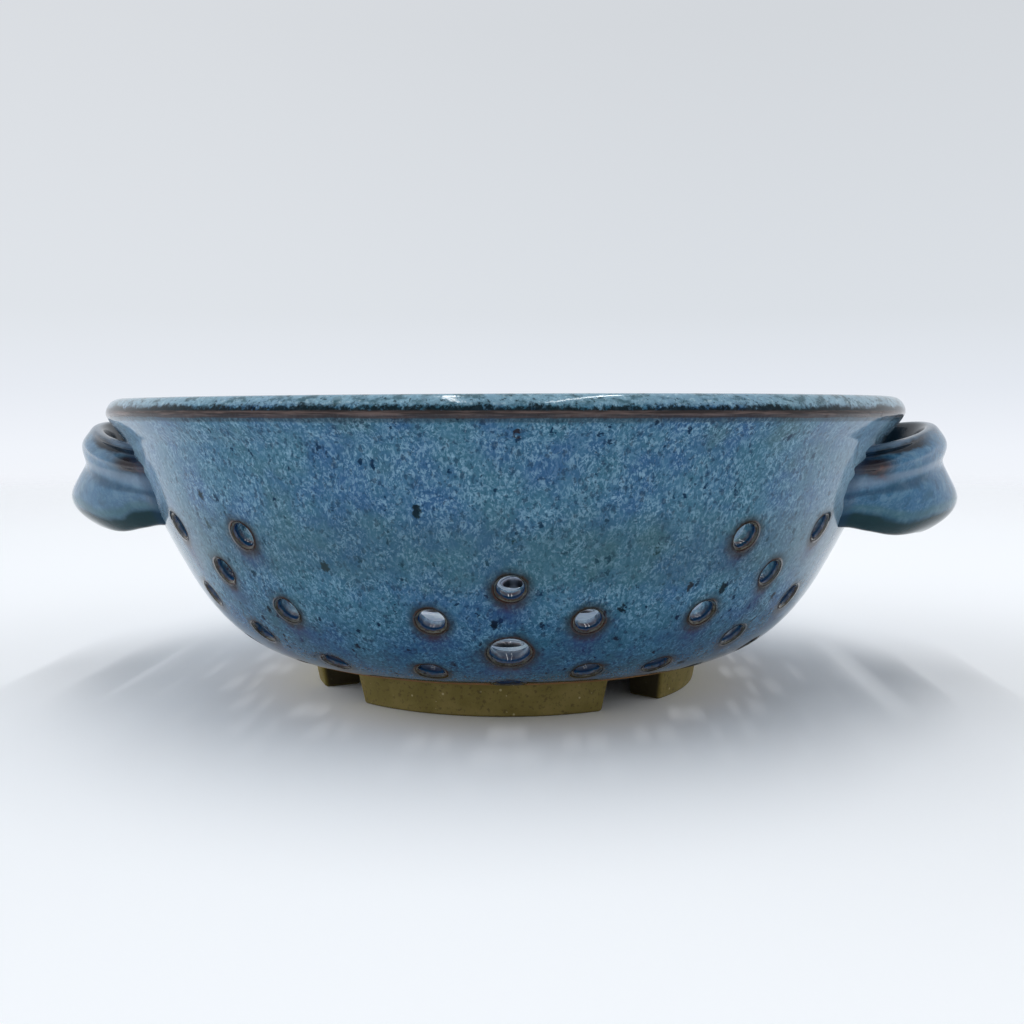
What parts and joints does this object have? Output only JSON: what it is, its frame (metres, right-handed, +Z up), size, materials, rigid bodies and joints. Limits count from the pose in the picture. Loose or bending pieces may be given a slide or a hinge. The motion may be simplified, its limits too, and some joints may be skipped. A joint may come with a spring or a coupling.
{
  "type": "berry bowl",
  "caption": "Stoneware berry bowl: a blue-glazed wheel-thrown strainer with drain holes, a rounded lip, strap lug handles at the sides and a bare clay foot ring cut by notches.",
  "frame": {"origin": "on the table, under the middle of the bowl", "axes": "+Z up, +X through the right handle, -Y towards the front"},
  "size_m": [0.2144, 0.19, 0.0688],
  "materials": {
    "glaze": "glossy mottled blue rutile glaze over stoneware, breaking brown at the edges",
    "bare_clay": "bare fired stoneware, matt, olive tan with fine pale specks"
  },
  "bodies": {
    "root": {"bowl_body": "glaze", "handle_right": "glaze", "handle_left": "glaze", "foot_front": "bare_clay", "foot_right": "bare_clay", "foot_back": "bare_clay", "foot_left": "bare_clay"}
  },
  "joints": []
}
